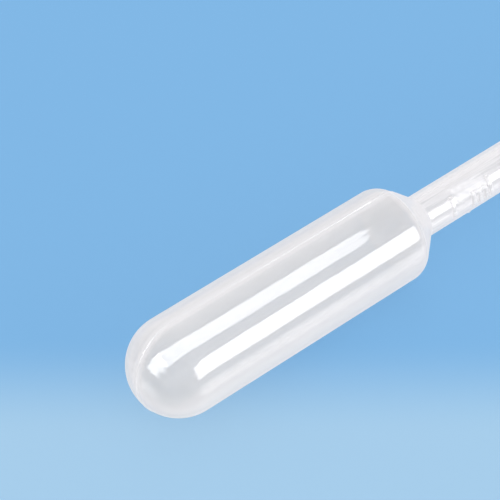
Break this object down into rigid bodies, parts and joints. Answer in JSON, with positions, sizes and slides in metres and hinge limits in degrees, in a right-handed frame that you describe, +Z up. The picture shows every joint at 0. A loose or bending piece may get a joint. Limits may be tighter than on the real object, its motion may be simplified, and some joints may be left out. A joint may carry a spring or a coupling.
{
  "type": "dropper pipette",
  "caption": "One-piece translucent plastic dropper pipette with a round-ended squeeze bulb, a graduated tubular stem and a narrow drawn tip.",
  "frame": {"origin": "on the ground, under the middle of the pipette as it lies on its side", "axes": "+X from the bulb to the tip, +Z up; the long axis slopes down towards the tip by about 2.5 degrees"},
  "size_m": [0.155, 0.0124, 0.0139],
  "materials": {
    "milky_plastic": "natural low density polyethylene, milky and translucent, smooth and glossy"
  },
  "bodies": {
    "root": {"pipette": "milky_plastic"}
  },
  "joints": []
}
